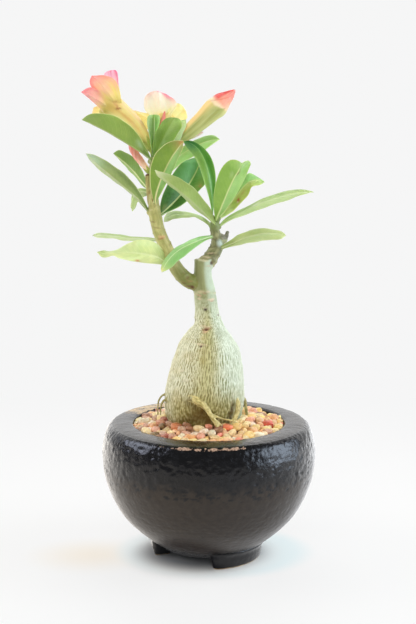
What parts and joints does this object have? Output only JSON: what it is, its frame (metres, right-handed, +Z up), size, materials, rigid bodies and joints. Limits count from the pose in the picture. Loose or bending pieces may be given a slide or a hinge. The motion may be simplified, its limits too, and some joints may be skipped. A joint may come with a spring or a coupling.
{
  "type": "potted desert rose adenium",
  "caption": "Small desert rose with a swollen caudex, cut trunk and two leafy flowering branches, growing in gravel in a squat black glazed stoneware bowl on feet.",
  "frame": {"origin": "bottom centre of the whole object's bounding box, in the plane that the feet stand on; the bowl's turning axis is vertical at x = +6.1 mm, y = 0", "axes": "+Z up along the plant; -Y towards the viewer of the front, +X to that viewer's right"},
  "size_m": [0.1622, 0.1506, 0.3422],
  "materials": {
    "pot_glaze": "gloss",
    "soil": "matte",
    "gravel": "satin",
    "bark": "matte",
    "leaf": "satin",
    "petal": "matte",
    "calyx": "satin"
  },
  "bodies": {
    "root": {"pot": "pot_glaze", "potting_soil": "soil", "gravel_top_dressing": "gravel", "caudex_trunk_and_branches": "bark", "leaf_left_01": "leaf", "leaf_left_02": "leaf", "leaf_left_03": "leaf", "leaf_left_04": "leaf", "leaf_left_05": "leaf", "leaf_left_06": "leaf", "leaf_left_07": "leaf", "leaf_left_08": "leaf", "leaf_left_09": "leaf", "leaf_left_10": "leaf", "leaf_left_11": "leaf", "leaf_left_12": "leaf", "leaf_right_01": "leaf", "leaf_right_02": "leaf", "leaf_right_03": "leaf", "leaf_right_04": "leaf", "leaf_right_05": "leaf", "leaf_right_06": "leaf", "leaf_right_07": "leaf", "leaf_right_08": "leaf", "flower_left_corolla": "petal", "flower_centre_corolla": "petal", "bud_right_corolla": "petal", "bud_centre_small": "petal", "bud_left_small": "petal", "bud_right_small": "petal", "flower_left_calyx": "calyx", "flower_centre_calyx": "calyx", "bud_right_calyx": "calyx", "bud_left_small_calyx": "calyx", "bud_centre_small_calyx": "calyx", "bud_right_small_calyx": "calyx"}
  },
  "joints": []
}
